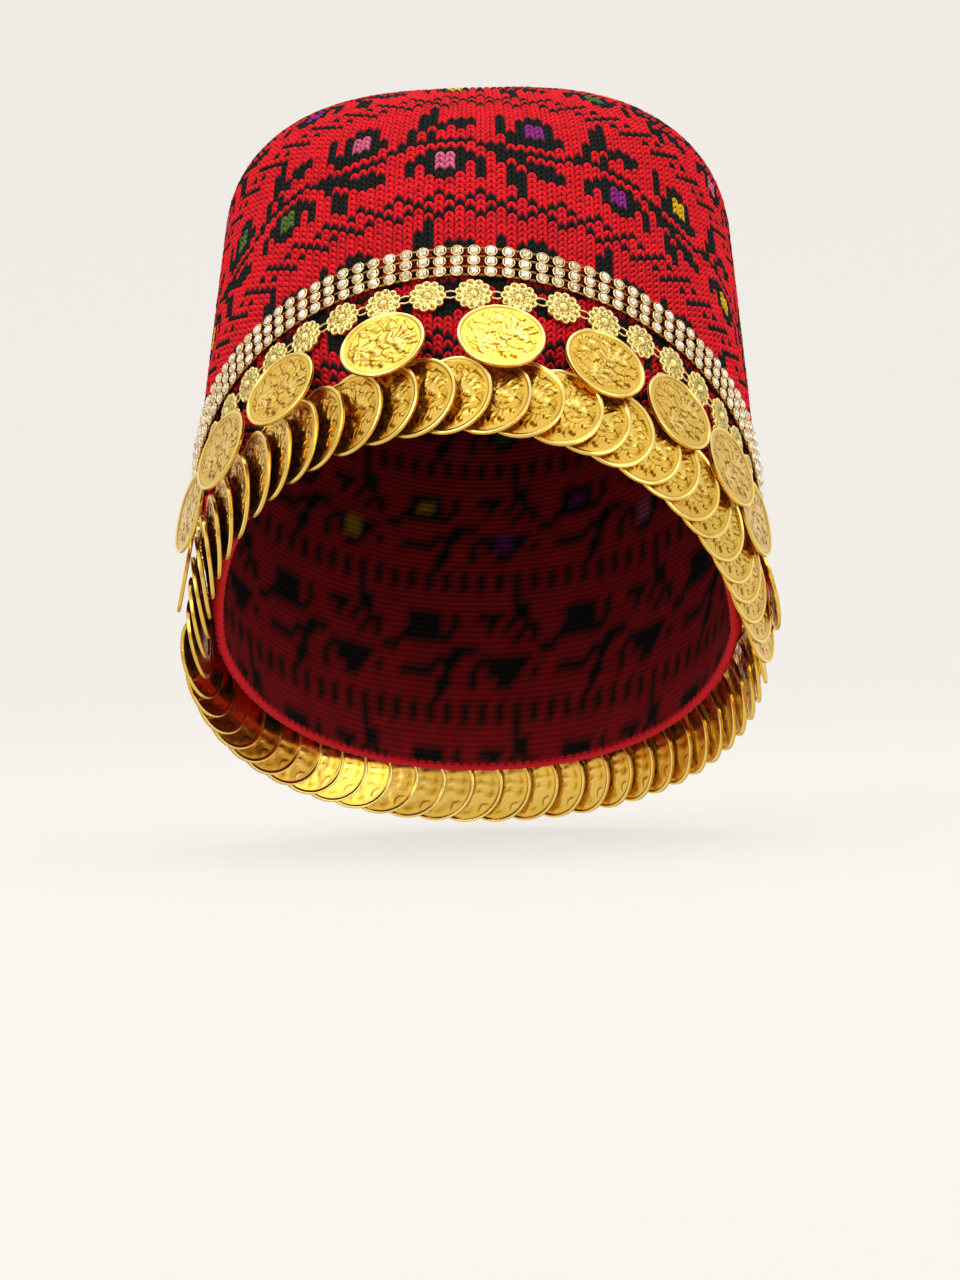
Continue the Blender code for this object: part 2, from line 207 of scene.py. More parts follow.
def cap_points(turn, height, inset=0.0):
    """Worn points on the cap's outline at heights above the rim: x is the half width by sin(turn), the
    front the front or back depth by cos(turn) plus the lean, both less the taper, the draw at the rim
    and the inset. The back half is pinched in, and rim and trim rise towards the back."""
    turn, height, inset = np.broadcast_arrays(turn, height, inset)
    sine, cosine = np.sin(turn), np.cos(turn)
    narrowing = CAP_TAPER * height + inset
    draw = np.maximum(1.0 - height / RIM_DRAW_HEIGHT, 0.0) ** 2
    depth = np.where(cosine > 0.0, CAP_FRONT_DEPTH, CAP_BACK_DEPTH)
    pinch = 1.0 - CAP_BACK_PINCH * np.maximum(-cosine, 0.0)
    across = (CAP_HALF_WIDTH - narrowing - RIM_DRAW_SIDE * draw) * pinch * sine
    forward = (depth - narrowing - RIM_DRAW_FRONT * draw) * cosine + CAP_LEAN * height
    trim_top = BAND_HEIGHT + 0.5 * BAND_ROWS * BAND_ROW_PITCH
    fade = np.clip((CAP_HEIGHT - height) / (CAP_HEIGHT - trim_top), 0.0, 1.0)
    rise = RIM_RISE_BACK * np.maximum(-cosine, 0.0) ** 2 * fade
    return np.stack((across, -forward, height + rise), axis=-1) @ WORN.T


def wall_frame(turn, height):
    """Points on the wall with their unit vectors to the right, up the wall and out."""
    step = 1e-4
    point = cap_points(turn, height)
    right = unit(cap_points(turn + step, height) - cap_points(turn - step, height))
    up = unit(cap_points(turn, height + step) - cap_points(turn, height - step))
    out = unit(np.cross(right, up))
    return point, right, np.cross(out, right), out


def ring_lengths(height, first=0.0, steps=720):
    """Turns once round the cap from a first turn, and the wall's length up to each of them."""
    fine = first + np.linspace(0.0, 2.0 * math.pi, steps + 1)
    spans = np.linalg.norm(np.diff(cap_points(fine, height), axis=0), axis=1)
    return fine, np.concatenate(([0.0], np.cumsum(spans)))


def even_turns(height, count, first=0.0):
    """Turns that divide the wall's length at a height evenly, from a first turn to the right."""
    fine, length = ring_lengths(height)
    start = np.interp(math.radians(first) % (2.0 * math.pi), fine, length)
    places = (start + np.arange(count) * length[-1] / count) % length[-1]
    return np.interp(places, length, fine)


def shoulder(turn):
    """Height at which the shoulder starts at a turn, and its radius, which is largest in front."""
    radius = SHOULDER_SIDE + (SHOULDER_FRONT - SHOULDER_SIDE) * np.maximum(np.cos(turn), 0.0) ** 2
    return CAP_HEIGHT - TOP_SLANT * np.cos(turn) - radius, radius


def shell_points(turn, length):
    """Points up the wall and round the shoulder, at a length from the rim."""
    foot, radius = shoulder(turn)
    bend = np.clip((length - foot) / radius, 0.0, 0.5 * math.pi)
    height = np.minimum(length, foot) + radius * np.sin(bend)
    return cap_points(turn, height, radius * (1.0 - np.cos(bend)))


def shell_length(turn):
    """Length from the rim to the shoulder's top edge."""
    foot, radius = shoulder(turn)
    return foot + 0.5 * math.pi * radius


KNIT_TURNS, KNIT_LENGTHS = ring_lengths(KNIT_LEVEL, -math.pi, 1440)
FRONT_LENGTH = float(shell_length(np.array(0.0)))
SECTION_TURNS = np.linspace(0.0, 2.0 * math.pi, 44, endpoint=False)
CROWN_EDGE = shell_points(SECTION_TURNS, shell_length(SECTION_TURNS))
CROWN_MIDDLE = CROWN_EDGE.mean(axis=0) + WORN @ np.array((0.0, CROWN_BACK, CROWN_UP))


def knit_places(column, row):
    """Points of the knitted surface. Columns are evenly spaced along the wall, and rows are spaced as
    in front near the rim and share out the rest evenly at the top. Over the crown they turn round as
    they shrink to its middle, on a low dome."""
    column, row = np.broadcast_arrays(np.asarray(column, float), np.asarray(row, float))
    around = 0.5 * KNIT_LENGTHS[-1] + (column + KNIT_SHIFT) * KNIT_LENGTHS[-1] / KNIT_COLUMNS
    turn = np.interp(around % KNIT_LENGTHS[-1], KNIT_LENGTHS, KNIT_TURNS)
    whole = shell_length(turn)
    fit = FRONT_LENGTH / whole
    share = np.minimum(row / KNIT_ROWS, 1.0)
    shell = shell_points(turn, whole * share * (fit - (fit - 1.0) * share ** 2))
    inward = np.clip(1.0 - (row - KNIT_ROWS) / KNIT_CROWN_RINGS, 0.0, 1.0)[..., None]
    angle = 2.0 * math.pi * (column + KNIT_SHIFT) / KNIT_COLUMNS
    ring = CROWN_RING * np.stack((np.sin(angle), -np.cos(angle), 0.0 * angle), axis=-1) @ WORN.T
    away = inward * (inward ** 2 * (shell - CROWN_MIDDLE) + (1.0 - inward ** 2) * ring)
    level = np.linalg.norm((away @ WORN)[..., :2], axis=-1, keepdims=True)
    dome = CROWN_RISE * np.clip(1.0 - (level / CROWN_REACH) ** 2, 0.0, 1.0) ** 2
    return CROWN_MIDDLE + away + dome * WORN[:, 2]


def knit_surface(column, row, lift):
    """Points lifted off the knitted surface along its normal."""
    step = 0.05
    place = knit_places(column, row)
    across = knit_places(column + step, row) - knit_places(column - step, row)
    upward = knit_places(column, row + step) - knit_places(column, row - step)
    return place + np.asarray(lift)[..., None] * unit(np.cross(across, upward))


# Meshes

def make_piece(name, points, face_groups, mat, shape, smooth=True, **attributes):
    """A mesh piece from arrays. It stands for the nodes in shape, and each attribute is one number or one
    colour for every point. The slot named in shape is not used."""
    mesh = bpy.data.meshes.new(name)
    points = np.ascontiguousarray(points, np.float32).reshape(-1, 3)
    corners = np.concatenate([np.asarray(group, np.int32).ravel() for group in face_groups])
    sizes = np.concatenate([np.full(len(group), np.shape(group)[1]) for group in face_groups])
    mesh.vertices.add(len(points))
    mesh.vertices.foreach_set("co", points.ravel())
    mesh.loops.add(len(corners))
    mesh.loops.foreach_set("vertex_index", corners)
    mesh.polygons.add(len(sizes))
    mesh.polygons.foreach_set("loop_start", np.concatenate(([0], np.cumsum(sizes)[:-1])).astype(np.int32))
    mesh.update(calc_edges=True)
    mesh.polygons.foreach_set("use_smooth", np.full(len(sizes), smooth))
    for label, values in attributes.items():
        values = np.asarray(values, np.float32)
        if values.ndim == 1:
            mesh.attributes.new(label, "FLOAT", "POINT").data.foreach_set("value", values)
        else:
            colours = np.column_stack((values, np.ones(len(values), np.float32)))
            mesh.attributes.new(label, "FLOAT_COLOR", "POINT").data.foreach_set("color", colours.ravel())
    mesh.materials.append(mat)
    piece = bpy.data.objects.new(name, mesh)
    bpy.context.scene.collection.objects.link(piece)
    nodes, slot = shape
    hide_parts(*nodes)
    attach(piece, "root")
    return piece


def repeated(faces, size, count):
    """Faces of a template with size points, for count copies."""
    starts = np.arange(count)[:, None, None] * size
    return (np.asarray(faces)[None] + starts).reshape(-1, np.shape(faces)[1])


def grid_faces(rows, columns, closed=True):
    """Quads between rows of points, each closed into a ring or left open."""
    last = columns if closed else columns - 1
    row, column = np.meshgrid(np.arange(rows - 1), np.arange(last), indexing="ij")
    beside = (column + 1) % columns
    below = row * columns
    quads = (below + column, below + beside, below + columns + beside, below + columns + column)
    return np.stack(quads, axis=-1).reshape(-1, 4)


def placed(local, frames):
    """Local points (x, y, z) of a template in each frame of centre, right, up and out."""
    centre, right, up, out = (np.asarray(part)[:, None] for part in frames)
    return centre + local[..., 0:1] * right + local[..., 1:2] * up + local[..., 2:3] * out


def spun(points, spins):
    """A template's points turned about their own axis, one copy for each spin."""
    sine, cosine = np.sin(spins)[:, None], np.cos(spins)[:, None]
    x, y, z = points.T
    turned_x, turned_y = cosine * x - sine * y, sine * x + cosine * y
    return np.stack((turned_x, turned_y, np.broadcast_to(z, turned_x.shape)), axis=-1)


def ring_points(radius, angle, height):
    """Points round the axis at a radius and a height, which are numbers or one for each angle."""
    return np.stack(np.broadcast_arrays(radius * np.cos(angle), radius * np.sin(angle), height), axis=-1)


def join_parts(parts):
    """Points and faces of several (points, faces) pairs as one. All their faces have as many sides."""
    starts = np.cumsum([0] + [len(points) for points, _faces in parts[:-1]])
    points = np.concatenate([points for points, _faces in parts])
    faces = np.concatenate([faces + start for (_points, faces), start in zip(parts, starts)])
    return points, faces


def tubes(paths, first, second, radius, sides=6):
    """Open wires: a ring of sides round every point of each path, across the two directions."""
    angle = np.linspace(0.0, 2.0 * math.pi, sides, endpoint=False)
    spread = np.cos(angle)[:, None] * first[..., None, :] + np.sin(angle)[:, None] * second[..., None, :]
    points = paths[..., None, :] + radius * spread
    count, length = paths.shape[:2]
    return points.reshape(-1, 3), repeated(grid_faces(length, sides), length * sides, count)


# Materials

def linear(code):
    """Linear colour of a #RRGGBB code."""
    values = np.array([int(code[place:place + 2], 16) / 255.0 for place in (1, 3, 5)])
    return np.where(values <= 0.04045, values / 12.92, ((values + 0.055) / 1.055) ** 2.4)


def add_node(tree, kind, values=None, links=None, **settings):
    """A node with its settings, its input values and the outputs linked to its inputs."""
    new = tree.nodes.new(kind)
    for name, value in settings.items():
        setattr(new, name, value)
    for name, value in (values or {}).items():
        new.inputs[name].default_value = value
    for name, source in (links or {}).items():
        tree.links.new(source, new.inputs[name])
    return new


def add_ramp(tree, factor, stops):
    """A colour ramp through (place, colour code) stops."""
    ramp = add_node(tree, "ShaderNodeValToRGB", links={"Fac": factor})
    while len(ramp.color_ramp.elements) < len(stops):
        ramp.color_ramp.elements.new(1.0)
    for element, (place, code) in zip(ramp.color_ramp.elements, stops):
        element.position = place
        element.color = (*linear(code), 1.0)
    return ramp.outputs["Color"]


def new_material(name, **uniform):
    """A material with its Principled shader, tree and an object coordinate in millimetres."""
    mat = bpy.data.materials.new(name)
    mat.use_nodes = True
    tree = mat.node_tree
    shader = tree.nodes["Principled BSDF"]
    for label, value in uniform.items():
        shader.inputs[label.replace("_", " ")].default_value = value
    place = add_node(tree, "ShaderNodeTexCoord").outputs["Object"]
    thousand = {1: (1000.0, 1000.0, 1000.0)}
    scaled = add_node(tree, "ShaderNodeVectorMath", thousand, {0: place}, operation="MULTIPLY")
    return mat, tree, shader, scaled.outputs["Vector"]


def combined(tree, factor, weight, base):
    """Factor times weight plus base. The weight is a number or an output, and the others are outputs."""
    if isinstance(weight, float):
        values, links = {1: weight}, {0: factor, 2: base}
    else:
        values, links = {}, {0: factor, 1: weight, 2: base}
    return add_node(tree, "ShaderNodeMath", values, links, operation="MULTIPLY_ADD").outputs["Value"]


def noise(tree, place, size_mm, detail=3.0, roughness=0.6):
    """Noise whose lumps are about size_mm across."""
    values = {"Scale": 1.0 / size_mm, "Detail": detail, "Roughness": roughness}
    return add_node(tree, "ShaderNodeTexNoise", values, {"Vector": place}).outputs["Fac"]


def wool_material():
    """Red, black and coloured wool, dull and fibrous: the chart's colours, with painted shade multiplied
    into them, are read from the stitches, the plies of the yarn run slantwise along each leg, and its
    fibres make the shade uneven."""
    mat, tree, shader, place = new_material("dyed_wool", Roughness=0.85, Specular_IOR_Level=0.25)
    # The stitches' colour attribute holds the chart's colours with painted shade multiplied in
    dye = add_node(tree, "ShaderNodeAttribute", attribute_name="dye").outputs["Color"]
    ply = add_node(tree, "ShaderNodeAttribute", attribute_name="ply").outputs["Fac"]
    fibre = noise(tree, place, 0.35)
    shade = add_node(tree, "ShaderNodeMapRange", {"To Min": 0.72, "To Max": 1.25}, {"Value": fibre})
    tinted = {0: dye, "Scale": shade.outputs["Result"]}
    tint = add_node(tree, "ShaderNodeVectorMath", links=tinted, operation="SCALE")
    tree.links.new(tint.outputs["Vector"], shader.inputs["Base Color"])
    twist = add_node(tree, "ShaderNodeMath", {1: 2.0 * math.pi}, {0: ply}, operation="MULTIPLY")
    ridge = add_node(tree, "ShaderNodeMath", links={0: twist.outputs["Value"]}, operation="SINE")
    relief = combined(tree, fibre, 1.5, ridge.outputs["Value"])
    bump = add_node(tree, "ShaderNodeBump", {"Strength": 0.6, "Distance": 0.12 * MM}, {"Height": relief})
    tree.links.new(bump.outputs["Normal"], shader.inputs["Normal"])
    return mat


def gold_material(name, recess_shade, middle, top, rough, struck=False):
    """Polished gold plate: painted highlight on the raised relief and painted shade, warm and darker,
    where it is recessed, with handling marks in its gloss and fine scratches. A struck coin also has
    fine folds cut in its face, drawn in the coin's own plane, and painted dark as shade."""
    mat, tree, shader, place = new_material(name, Metallic=1.0)
    relief = add_node(tree, "ShaderNodeAttribute", attribute_name="relief").outputs["Fac"]
    if struck:
        face = add_node(tree, "ShaderNodeAttribute", attribute_name="face").outputs["Vector"]
        inside = add_node(tree, "ShaderNodeSeparateXYZ", links={"Vector": face}).outputs["Z"]
        wave = {"Scale": 1.5, "Distortion": 11.0, "Detail": 2.0}
        wave |= {"Detail Scale": 1.1, "Detail Roughness": 0.55}
        folds = add_node(tree, "ShaderNodeTexWave", wave, {"Vector": face}, bands_direction="DIAGONAL")
        depth = {"From Min": 0.0, "From Max": 0.11, "To Min": -0.38, "To Max": 0.0}
        cut = add_node(tree, "ShaderNodeMapRange", depth, {"Value": folds.outputs["Fac"]})
        relief = combined(tree, cut.outputs["Result"], inside, relief)
    mixed = combined(tree, noise(tree, place, 6.0), 0.25, relief)
    # The ramp paints shade, warm and dark, in the recesses and a highlight on the raised relief
    colour = add_ramp(tree, mixed, ((0.10, recess_shade), (0.42, middle), (0.95, top)))
    tree.links.new(colour, shader.inputs["Base Color"])
    marks = noise(tree, place, 1.4, 4.0)
    span = {"To Min": rough - 0.06, "To Max": rough + 0.12}
    gloss = add_node(tree, "ShaderNodeMapRange", span, {"Value": marks})
    tree.links.new(gloss.outputs["Result"], shader.inputs["Roughness"])
    grain = noise(tree, place, 0.30, 2.0)
    bump = add_node(tree, "ShaderNodeBump", {"Strength": 0.10, "Distance": 0.03 * MM}, {"Height": grain})
    if struck:
        under = {"Height": relief, "Normal": bump.outputs["Normal"]}
        bump = add_node(tree, "ShaderNodeBump", {"Strength": 0.22, "Distance": 0.20 * MM}, under)
    tree.links.new(bump.outputs["Normal"], shader.inputs["Normal"])
    return mat


def stone_material():
    """Foil-backed rhinestone: clear facets over warm silver foil, each stone with its own painted glint.
    """
    mat, tree, shader, place = new_material(
        "foiled_rhinestone", Metallic=0.80, Roughness=0.05, Coat_Weight=1.0, Coat_Roughness=0.02
    )
    painted_glint = add_node(tree, "ShaderNodeAttribute", attribute_name="relief").outputs["Fac"]
    mixed = combined(tree, noise(tree, place, 0.8, 2.0), 0.4, painted_glint)
    # The ramp paints the glint from dark through warm silver to white
    colour = add_ramp(tree, mixed, ((0.12, "#6E5638"), (0.42, "#D4C29C"), (0.80, "#FFFFFF")))
    tree.links.new(colour, shader.inputs["Base Color"])
    return mat


# Knit

def chart_cell(column, row):
    """What the chart says for each stitch: 0 red, 1 black, 2 and up a flower's heart. The flowers of
    the lowest band, under the trim, have black hearts."""
    chain = np.array([[letter == "#" for letter in line] for line in CHAIN_CHART[::-1]], int)
    codes = {".": 0, "#": 1, "o": 2}
    flowers = np.array([[codes[letter] for letter in line] for line in FLOWER_CHART[::-1]])
    level = (row - CHAIN_FIRST_ROW) % REPEAT_ROWS
    chain_rows = len(CHAIN_CHART)
    in_chain = chain[np.minimum(level, chain_rows - 1), column % chain.shape[1]]
    in_flower = flowers[np.maximum(level - chain_rows, 0), (column - CHART_LEFT) % REPEAT_COLUMNS]
    cell = np.where(level < chain_rows, in_chain, in_flower)
    band = (row - CHAIN_FIRST_ROW) // REPEAT_ROWS
    upper_flower = (column - CHART_LEFT) % REPEAT_COLUMNS > REPEAT_COLUMNS // 2
    repeat = (column - CHART_LEFT) // REPEAT_COLUMNS + np.where(upper_flower, 1, 0)
    heart = (repeat + 2 * band - 2) % len(HEARTS)
    return np.where(cell == 2, np.where(band > 0, 2 + heart, 1), cell)


def dyes(cells):
    """Linear colours of chart cells, each stitch a little lighter or darker than the next."""
    palette = np.array([linear(code) for code in (RED, BLACK, *HEARTS)])
    shade = 1.0 + 0.10 * random.standard_normal(cells.shape)
    return palette[cells] * np.clip(shade, 0.7, 1.3)[..., None]


def stitch_template(fine):
    """One stitch: two legs that meet in a peak and part downwards, each a half tube with an upper edge,
    a ridge and a lower edge. Its points are in columns, rows and metres of lift. Its ply counts yarn
    twists along a leg. Its shade is painted shade: the yarn is painted darker on the lower edge, a little
    on the upper edge and towards the leg's end, where it dives under its neighbours. A fine leg has a
    section more."""
    known = (0.0, 0.30, 0.68, 1.0)
    along = np.array(known if fine else (0.0, 0.48, 1.0))
    middle = np.interp(along, known, (0.0, 0.18, 0.37, 0.50))
    level = np.interp(along, known, (0.90, 0.64, 0.22, -0.18))
    wide = np.interp(along, known, (0.0, 0.11, 0.12, 0.08))
    tall = np.interp(along, known, (0.26, 0.32, 0.34, 0.28))
    ridge = np.interp(along, known, (0.20, 0.22, -0.05, -0.75)) * MM
    # glow is painted shade along each leg: the yarn is painted darker towards the end that dives under
    # the next row
    glow = np.interp(along, known, (0.98, 1.0, 0.82, 0.35))
    points = []
    plies = []
    painted_shades = []
    for side in (-1.0, 1.0):
        for across in (-1.0, 0.0, 1.0):
            upper = side * across
            # The lower edge is painted in deep shade and the upper edge in light shade, where the legs
            # dive under their neighbours; the ridge keeps its colour
            drop, shade = {-1.0: (0.75, 0.25), 0.0: (0.0, 1.0), 1.0: (0.40, 0.80)}[upper]
            x = 0.5 + side * middle + across * wide
            points.append(np.stack((x, level + upper * tall, ridge - drop * MM), axis=-1))
            plies.append(2.6 * along + 0.30 * upper)
            painted_shades.append(glow * shade)
    sections = len(along)
    first = np.concatenate([strip * sections + np.arange(sections - 1) for strip in (0, 1, 3, 4)])
    faces = np.stack((first + 1, first + sections + 1, first + sections, first), axis=-1)
    return np.concatenate(points), np.concatenate(plies), np.concatenate(painted_shades), faces


def knit_stitches(name, column, width, row, cells, wool, fine=True):
    """A piece of stitches at columns with a width in columns, and rows. Yarn strays a little."""
    template, plies, painted_shades, faces = stitch_template(fine)
    count = len(column)
    stray = random.normal(0.0, 1.0, (count, 1, 3)) * np.array((0.02, 0.03, 0.05 * MM))
    local = template[None] + stray
    columns = column[:, None] + width[:, None] * local[..., 0]
    rows = row[:, None] + local[..., 1]
    points = knit_surface(columns, np.maximum(rows, 0.05), local[..., 2])
    # The chart's colours times the painted shade of each point of the stitch
    dye = dyes(cells)[:, None] * painted_shades[None, :, None]
    return make_piece(
        name, points, [repeated(faces, len(template), count)], wool, KNIT,
        dye=dye.reshape(-1, 3), ply=np.tile(plies, count),
    )


def make_knit(wool):
    """The cap's stitches in bands, and rings of ever fewer stitches that close the crown."""
    across = np.arange(KNIT_COLUMNS) - KNIT_COLUMNS // 2
    for number, (low, high) in enumerate(zip(KNIT_PIECES, KNIT_PIECES[1:]), start=1):
        row, column = np.meshgrid(np.arange(low, high), across, indexing="ij")
        row, column = row.ravel(), column.ravel()
        cells = chart_cell(column, row)
        knit_stitches(f"knit_band_{number}", column, np.ones(len(column)), row, cells, wool, low > 0)
    columns = []
    widths = []
    rows = []
    for ring in range(KNIT_CROWN_RINGS):
        count = max(round(0.5 * KNIT_COLUMNS * (1.0 - ring / KNIT_CROWN_RINGS)), 6)
        width = KNIT_COLUMNS / count
        columns.append(np.arange(count) * width)
        widths.append(np.full(count, width))
        rows.append(np.full(count, KNIT_ROWS + ring))
    column = np.concatenate(columns)
    cells = chart_cell(np.round(column).astype(int), np.concatenate(rows))
    knit_stitches("knit_crown", column, np.concatenate(widths), np.concatenate(rows), cells, wool)


def make_shells(wool):
    """The yarn behind the stitches, and the inside of the cap with the strands that cross it, both
    painted dark as shade.
    """
    rows = np.arange(0.0, KNIT_ROWS + KNIT_CROWN_RINGS, 2.0)
    columns = np.arange(KNIT_COLUMNS) + 0.5
    row, column = np.meshgrid(rows + 0.3, columns, indexing="ij")
    cells = chart_cell(np.floor(column).astype(int), np.floor(row).astype(int))
    pole = CROWN_MIDDLE + CROWN_RISE * WORN[:, 2]
    last = (len(rows) - 1) * KNIT_COLUMNS
    side = np.arange(KNIT_COLUMNS)
    middle = np.full(KNIT_COLUMNS, row.size)
    fan = np.stack((last + side, last + (side + 1) % KNIT_COLUMNS, middle), axis=-1)
    quads = grid_faces(len(rows), KNIT_COLUMNS)
    # The backing is painted dark to 0.30 as shade where it shows between the stitches, the inside to 0.22
    # as shade within the cap
    for name, depth, darker in (("knit_backing", 1.0 * MM, 0.30), ("knit_inside", 2.8 * MM, 0.22)):
        points = knit_surface(column, row, np.full(row.shape, -depth)).reshape(-1, 3)
        points = np.concatenate((points, [pole - depth * WORN[:, 2]]))
        dye = darker * np.concatenate((dyes(cells).reshape(-1, 3), [linear(SHADED_RED)]))
        ply = np.concatenate(((row if name == "knit_inside" else column).ravel(), [0.0]))
        faces = [quads, fan] if name == "knit_backing" else [quads[:, ::-1], fan[:, ::-1]]
        make_piece(name, points, faces, wool, KNIT, dye=dye, ply=ply)


def make_rim(wool):
    """The cap's edge: a rolled welt, ribbed by the stitches that turn over it."""
    count, sides = 2 * KNIT_COLUMNS, 10
    turn = even_turns(0.0, count)
    point, _right, up, out = wall_frame(turn, np.full(count, 1e-4))
    angle = np.linspace(0.0, 2.0 * math.pi, sides, endpoint=False)
    radius = (1.40 + 0.14 * np.cos(math.pi * np.arange(count)))[:, None] * MM
    centre = point + 1.1 * MM * up - 1.55 * MM * out
    ring = np.cos(angle)[None, :, None] * out[:, None] + np.sin(angle)[None, :, None] * up[:, None]
    points = (centre[:, None] + radius[..., None] * ring).reshape(-1, 3)
    side = np.arange(sides)
    beside = (side + 1) % sides
    last = (count - 1) * sides
    join = np.stack((last + side, last + beside, beside, side), axis=-1)
    faces = [grid_faces(count, sides)[:, ::-1], join[:, ::-1]]
    dye = np.tile(0.6 * linear(SHADED_RED), (len(points), 1))
    ply = np.repeat(0.5 * np.arange(count), sides)
    make_piece("knit_rim", points, faces, wool, KNIT, dye=dye, ply=ply)


# Coins

def disc_grid(cells, rim_shells=5, rim_start=COIN_FIELD):
    """A square grid bent into a disc of radius one, whose outer shells lie close together along the
    rim. Gives its points, its faces and its border in order."""
    line = np.linspace(-1.0, 1.0, cells + 1)
    u, v = np.meshgrid(line, line, indexing="xy")
    wide = np.abs(u) > np.abs(v)
    reach = np.where(wide, u, v)
    safe = np.where(reach == 0.0, 1.0, reach)
    angle = np.where(wide, 0.25 * math.pi * v / safe, 0.5 * math.pi - 0.25 * math.pi * u / safe)
    shells = cells // 2
    inner = np.linspace(0.0, rim_start, shells - rim_shells + 1)
    outer = np.linspace(rim_start, 1.0, rim_shells + 1)
    known = np.concatenate((inner, outer[1:]))
    radius = np.sign(reach) * np.interp(np.abs(reach), np.arange(shells + 1) / shells, known)
    x, y = (radius * np.cos(angle)).ravel(), (radius * np.sin(angle)).ravel()
    index = np.arange((cells + 1) ** 2).reshape(cells + 1, cells + 1)
    border = np.concatenate((index[0, :-1], index[:-1, -1], index[-1, :0:-1], index[:0:-1, 0]))
    return x, y, grid_faces(cells + 1, cells + 1, closed=False), border


def blob(x, y, across, along, turn, middle):
    """A leaf-shaped bump at a middle, with half widths across and along a turned axis."""
    dx, dy = x - middle[0], y - middle[1]
    lengthwise = (dx * math.cos(turn) + dy * math.sin(turn)) / along
    sideways = (dy * math.cos(turn) - dx * math.sin(turn)) / across
    return np.clip(1.0 - lengthwise ** 2 - sideways ** 2, 0.0, 1.0) ** 0.5


BUDS = (
    ((0.02, 0.56), 0.14), ((-0.30, 0.42), 0.11), ((0.36, 0.50), 0.11),
    ((0.56, -0.16), 0.10), ((-0.56, -0.16), 0.10), ((0.02, -0.34), 0.11),
)
CURLS = (
    ((-0.55, 0.28), 1.0), ((0.64, 0.22), -1.0), ((-0.28, -0.34), 1.0),
    ((0.32, -0.34), -1.0), ((-0.16, 0.66), 1.0), ((0.22, 0.70), -1.0),
)


def sprig_relief(x, y):
    """Generic relief of a coin's face, 0 for the field and 1 for the highest: a wavy stem with paired
    leaves and round buds above a ground line, a row of short strokes below it, and a ring of dashes."""
    radius, angle = np.hypot(x, y), np.arctan2(y, x)
    height = np.zeros_like(x)
    stem_y = -0.06 + 0.20 * np.sin(4.4 * x + 0.5) + 0.16 * x
    stem = np.clip(1.0 - np.abs(y - stem_y) / 0.05, 0.0, 1.0) * (np.abs(x) < 0.60)
    height = np.maximum(height, 0.55 * stem)
    for place in np.linspace(-0.56, 0.56, 8):
        foot = -0.06 + 0.20 * math.sin(4.4 * place + 0.5) + 0.16 * place
        slope = math.atan(0.88 * math.cos(4.4 * place + 0.5) + 0.16)
        for side in (-1.0, 1.0):
            turn = slope + side * 0.95
            middle = (place + 0.17 * math.cos(turn), foot + 0.17 * math.sin(turn))
            leaf = blob(x, y, 0.062, 0.17, turn, middle)
            vein = blob(x, y, 0.014, 0.15, turn, middle)
            height = np.maximum(height, 0.9 * leaf - 0.45 * vein)
    for middle, size in BUDS:
        bud = blob(x, y, size, size, 0.0, middle)
        petals = 0.70 + 0.30 * np.cos(5.0 * np.arctan2(y - middle[1], x - middle[0]))
        height = np.maximum(height, bud * petals)
    for middle, hand in CURLS:
        away = np.hypot(x - middle[0], y - middle[1])
        around = hand * np.arctan2(y - middle[1], x - middle[0]) / (2.0 * math.pi)
        line = np.abs((away / 0.085 - around) % 1.0 - 0.5)
        height = np.maximum(height, 0.6 * np.clip(1.0 - line / 0.22, 0.0, 1.0) * (away < 0.16))
    ground = np.clip(1.0 - np.abs(y + 0.50) / 0.035, 0.0, 1.0) * (np.abs(x) < 0.62)
    strokes = (np.cos(46.0 * x) > 0.1) * (np.abs(y + 0.64) < 0.055) * (np.abs(x) < 0.30)
    dashes = (np.cos(44.0 * angle) > 0.0) * (np.abs(radius - 0.77) < 0.035) * (y > -0.45)
    height = np.maximum(height, 0.7 * ground)
    height = np.maximum(height, 0.5 * strokes)
    height = np.maximum(height, 0.45 * dashes)
    return height


def plain_relief(x, y):
    """Generic relief of a coin's back: a round medallion of rays inside a ring of dots."""
    radius, angle = np.hypot(x, y), np.arctan2(y, x)
    rays = (0.5 + 0.5 * np.cos(12.0 * angle)) * np.clip(1.0 - np.abs(radius - 0.42) / 0.22, 0.0, 1.0)
    boss = np.clip(1.0 - radius / 0.18, 0.0, 1.0) ** 0.5
    dots = (np.cos(40.0 * angle) > 0.2) * (np.abs(radius - 0.76) < 0.03)
    return np.maximum(np.maximum(rays, boss), 0.5 * dots)


